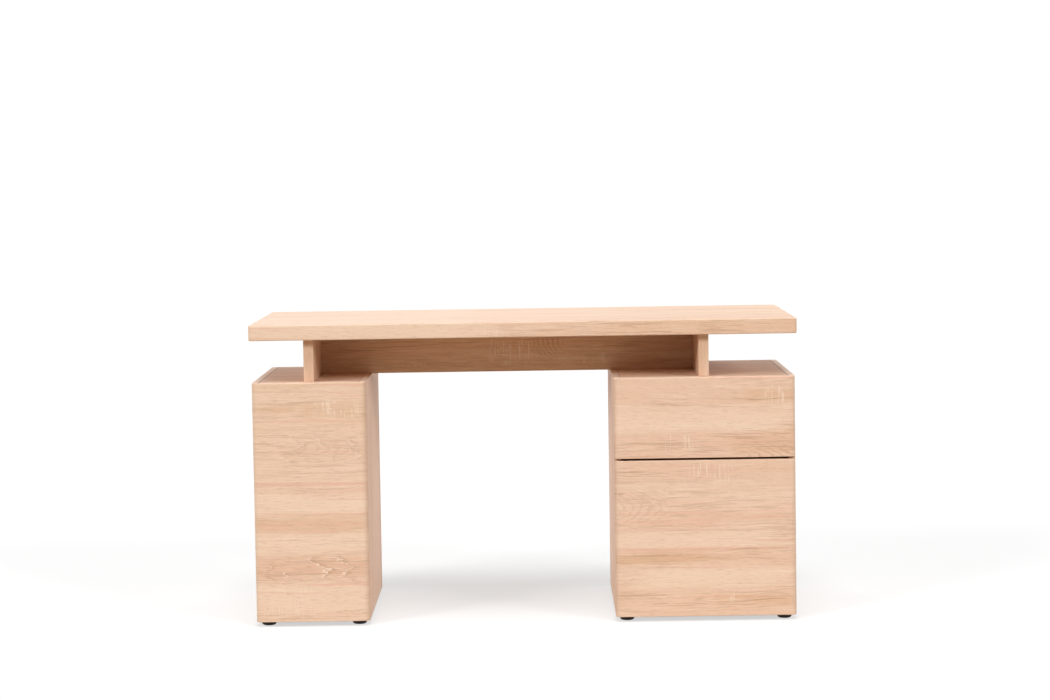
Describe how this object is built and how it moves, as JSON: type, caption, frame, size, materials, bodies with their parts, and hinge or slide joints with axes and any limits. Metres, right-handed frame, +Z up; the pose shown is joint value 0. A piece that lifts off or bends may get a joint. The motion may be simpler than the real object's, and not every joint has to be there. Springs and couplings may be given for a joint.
{
  "type": "pedestal desk",
  "caption": "Pedestal desk with a thick top raised on uprights and a cross panel over floor cabinets with hinged doors and a drawer on roller runners, in pale wood decor.",
  "frame": {"origin": "on the floor under the middle of the desktop", "axes": "+X along the desktop to the sitter's right as seen from the front, front faces -Y, +Z up"},
  "size_m": [1.35, 0.6, 0.75],
  "materials": {
    "wood_decor": "rough-sawn light oak decor",
    "drawer_board": "plain light decor",
    "hardboard": "thin printed hardboard",
    "dowel_wood": "bare beech",
    "black_plastic": "moulded, matt",
    "grey_plastic": "moulded, matt",
    "white_plastic": "moulded nylon",
    "nickel_steel": "nickel plated",
    "zinc": "die-cast zinc",
    "runner_coating": "white epoxy"
  },
  "bodies": {
    "desk": {"desktop": "wood_decor", "left_upright": "wood_decor", "right_upright": "wood_decor", "cross_panel": "wood_decor", "left_outer_side": "wood_decor", "left_inner_side": "wood_decor", "left_top": "wood_decor", "left_bottom": "wood_decor", "left_upper_shelf": "wood_decor", "left_lower_shelf": "wood_decor", "right_inner_side": "wood_decor", "right_outer_side": "wood_decor", "right_top": "wood_decor", "right_divider": "wood_decor", "right_bottom": "wood_decor", "right_shelf": "wood_decor", "left_back": "hardboard", "right_back": "hardboard", "wood_dowels": "dowel_wood", "feet": "black_plastic", "left_door_latch": "grey_plastic", "right_door_latch": "grey_plastic", "drawer_latch": "grey_plastic", "left_hinge_arms": "nickel_steel", "left_hinge_plates": "nickel_steel", "right_hinge_arms": "nickel_steel", "right_hinge_plates": "nickel_steel", "shelf_pins": "nickel_steel", "upright_screws": "nickel_steel", "fitting_screws": "nickel_steel", "cabinet_roller_axles": "nickel_steel", "cam_bolts": "zinc", "cam_discs": "zinc", "left_cabinet_runner": "runner_coating", "right_cabinet_runner": "runner_coating"},
    "left_door": {"left_door": "wood_decor", "left_hinge_cups": "nickel_steel", "left_hinge_pins": "nickel_steel", "left_cup_screws": "nickel_steel"},
    "right_door": {"right_door": "wood_decor", "right_hinge_cups": "nickel_steel", "right_hinge_pins": "nickel_steel", "right_cup_screws": "nickel_steel"},
    "drawer": {"drawer_front": "wood_decor", "drawer_left_side": "drawer_board", "drawer_right_side": "drawer_board", "drawer_back": "drawer_board", "drawer_bottom": "hardboard", "left_drawer_runner": "runner_coating", "right_drawer_runner": "runner_coating", "drawer_roller_axles": "nickel_steel", "drawer_cam_fittings": "zinc", "drawer_screws": "nickel_steel"},
    "front_rollers": {"cabinet_rollers": "white_plastic"},
    "rear_rollers": {"drawer_rollers": "white_plastic"},
    "left_plunger": {"left_door_plunger": "white_plastic"},
    "right_plunger": {"right_door_plunger": "white_plastic"},
    "drawer_plunger": {"drawer_plunger": "white_plastic"}
  },
  "joints": [
    {"name": "left_door_hinge", "type": "hinge", "parent": "desk", "child": "left_door", "pos_m": [-0.6605, -0.2845, 0.3095], "axis": [0, 0, -1], "range_deg": [0, 95]},
    {"name": "right_door_hinge", "type": "hinge", "parent": "desk", "child": "right_door", "pos_m": [0.6605, -0.2845, 0.20688], "axis": [0, 0, 1], "range_deg": [0, 95]},
    {"name": "drawer_slide", "type": "slide", "parent": "desk", "child": "drawer", "axis": [0, -1, 0], "range_m": [0, 0.33]},
    {"name": "front_roller_spin", "type": "hinge", "parent": "desk", "child": "front_rollers", "pos_m": [0.4465, -0.255, 0.4325], "axis": [1, 0, 0], "range_deg": [0, 1891]},
    {"name": "rear_roller_spin", "type": "hinge", "parent": "drawer", "child": "rear_rollers", "pos_m": [0.4465, 0.15, 0.4315], "axis": [1, 0, 0], "range_deg": [0, 1576]},
    {"name": "left_latch_press", "type": "slide", "parent": "desk", "child": "left_plunger", "axis": [0, 1, 0], "range_m": [0, 0.0025], "stiffness_N_per_m": 500},
    {"name": "right_latch_press", "type": "slide", "parent": "desk", "child": "right_plunger", "axis": [0, 1, 0], "range_m": [0, 0.0025], "stiffness_N_per_m": 500},
    {"name": "drawer_latch_press", "type": "slide", "parent": "desk", "child": "drawer_plunger", "axis": [0, 1, 0], "range_m": [0, 0.0025], "stiffness_N_per_m": 500}
  ],
  "couplings": [
    {"joint": "front_roller_spin", "follows": "drawer_slide", "rad_per_m": 100},
    {"joint": "rear_roller_spin", "follows": "drawer_slide", "rad_per_m": 83.333}
  ]
}
